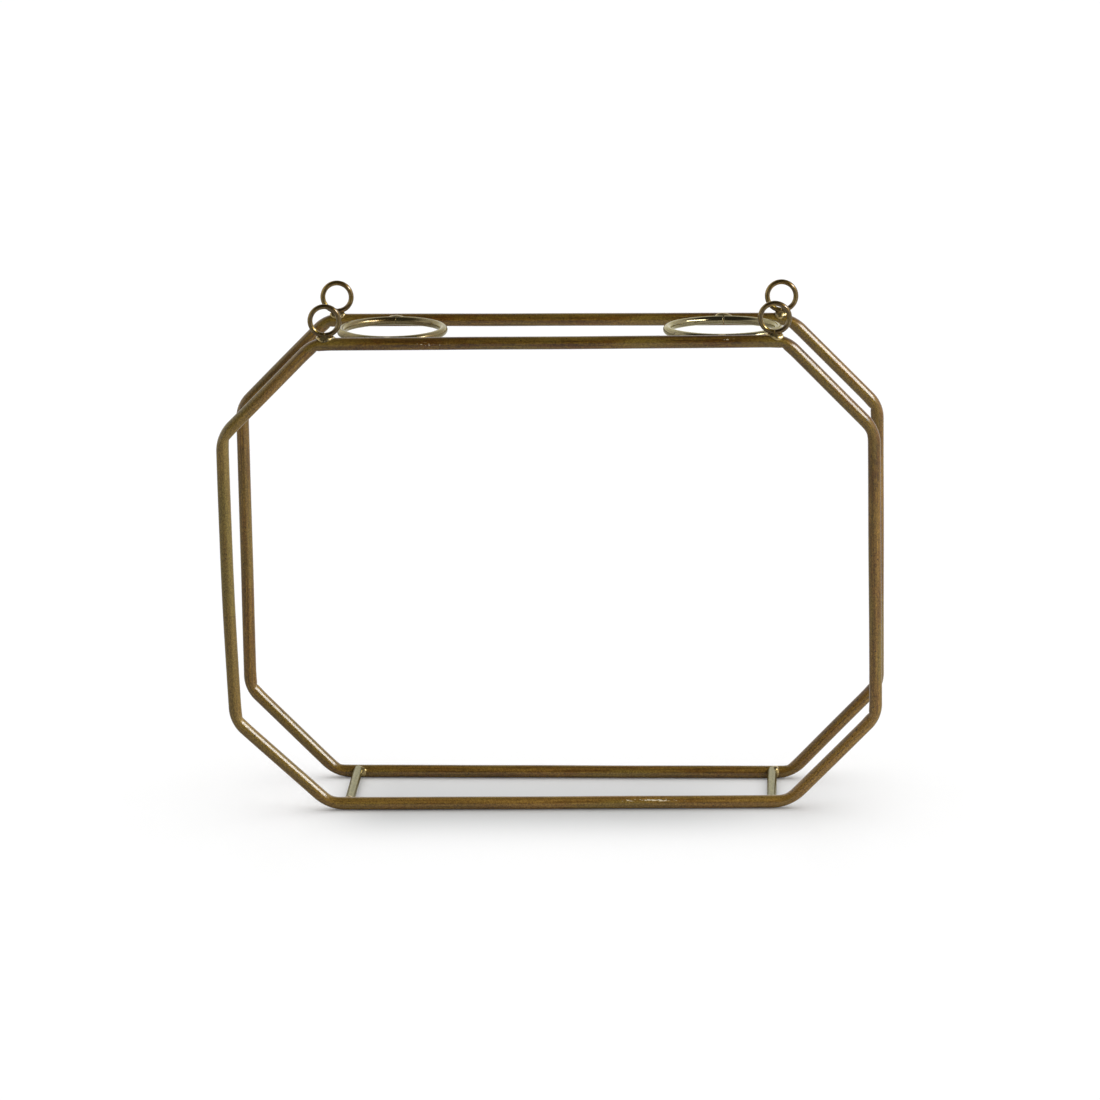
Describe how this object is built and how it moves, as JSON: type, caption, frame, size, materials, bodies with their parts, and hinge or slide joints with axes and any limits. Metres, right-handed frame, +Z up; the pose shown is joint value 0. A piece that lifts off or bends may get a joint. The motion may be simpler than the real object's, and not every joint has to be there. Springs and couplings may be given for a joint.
{
  "type": "hanging vase holder",
  "caption": "Open hanging holder of brass-finished rod: octagonal loops one behind the other, joined by wire rings that hold small vessels and by cross wires, with hanging eyes on top.",
  "frame": {"origin": "on the standing plane, midway between the two loops, under the middle of the front loop's rails", "axes": "+X right along the rails as seen from the front, +Y from the front loop to the back loop, +Z up"},
  "size_m": [0.328, 0.0692, 0.2562],
  "materials": {
    "rod": "aged brass finish over iron rod, satin, darker in the bends, worn pale along the edges",
    "ring_wire": "thin aged brass finish over steel wire, rubbed bright",
    "spreader_wire": "thin aged brass finish over steel wire, dull",
    "eye_wire": "aged brass finish over steel wire, satin",
    "braze": "braze metal, darkened, with bright rubbed spots"
  },
  "bodies": {
    "root": {"front_loop": "rod", "back_loop": "rod", "left_vessel_ring": "ring_wire", "right_vessel_ring": "ring_wire", "left_spreader": "spreader_wire", "right_spreader": "spreader_wire", "front_left_eye": "eye_wire", "front_right_eye": "eye_wire", "back_left_eye": "eye_wire", "back_right_eye": "eye_wire", "front_left_eye_braze": "braze", "front_right_eye_braze": "braze", "back_left_eye_braze": "braze", "back_right_eye_braze": "braze", "left_ring_front_braze": "braze", "left_ring_back_braze": "braze", "right_ring_front_braze": "braze", "right_ring_back_braze": "braze", "left_spreader_front_braze": "braze", "left_spreader_back_braze": "braze", "right_spreader_front_braze": "braze", "right_spreader_back_braze": "braze"}
  },
  "joints": []
}
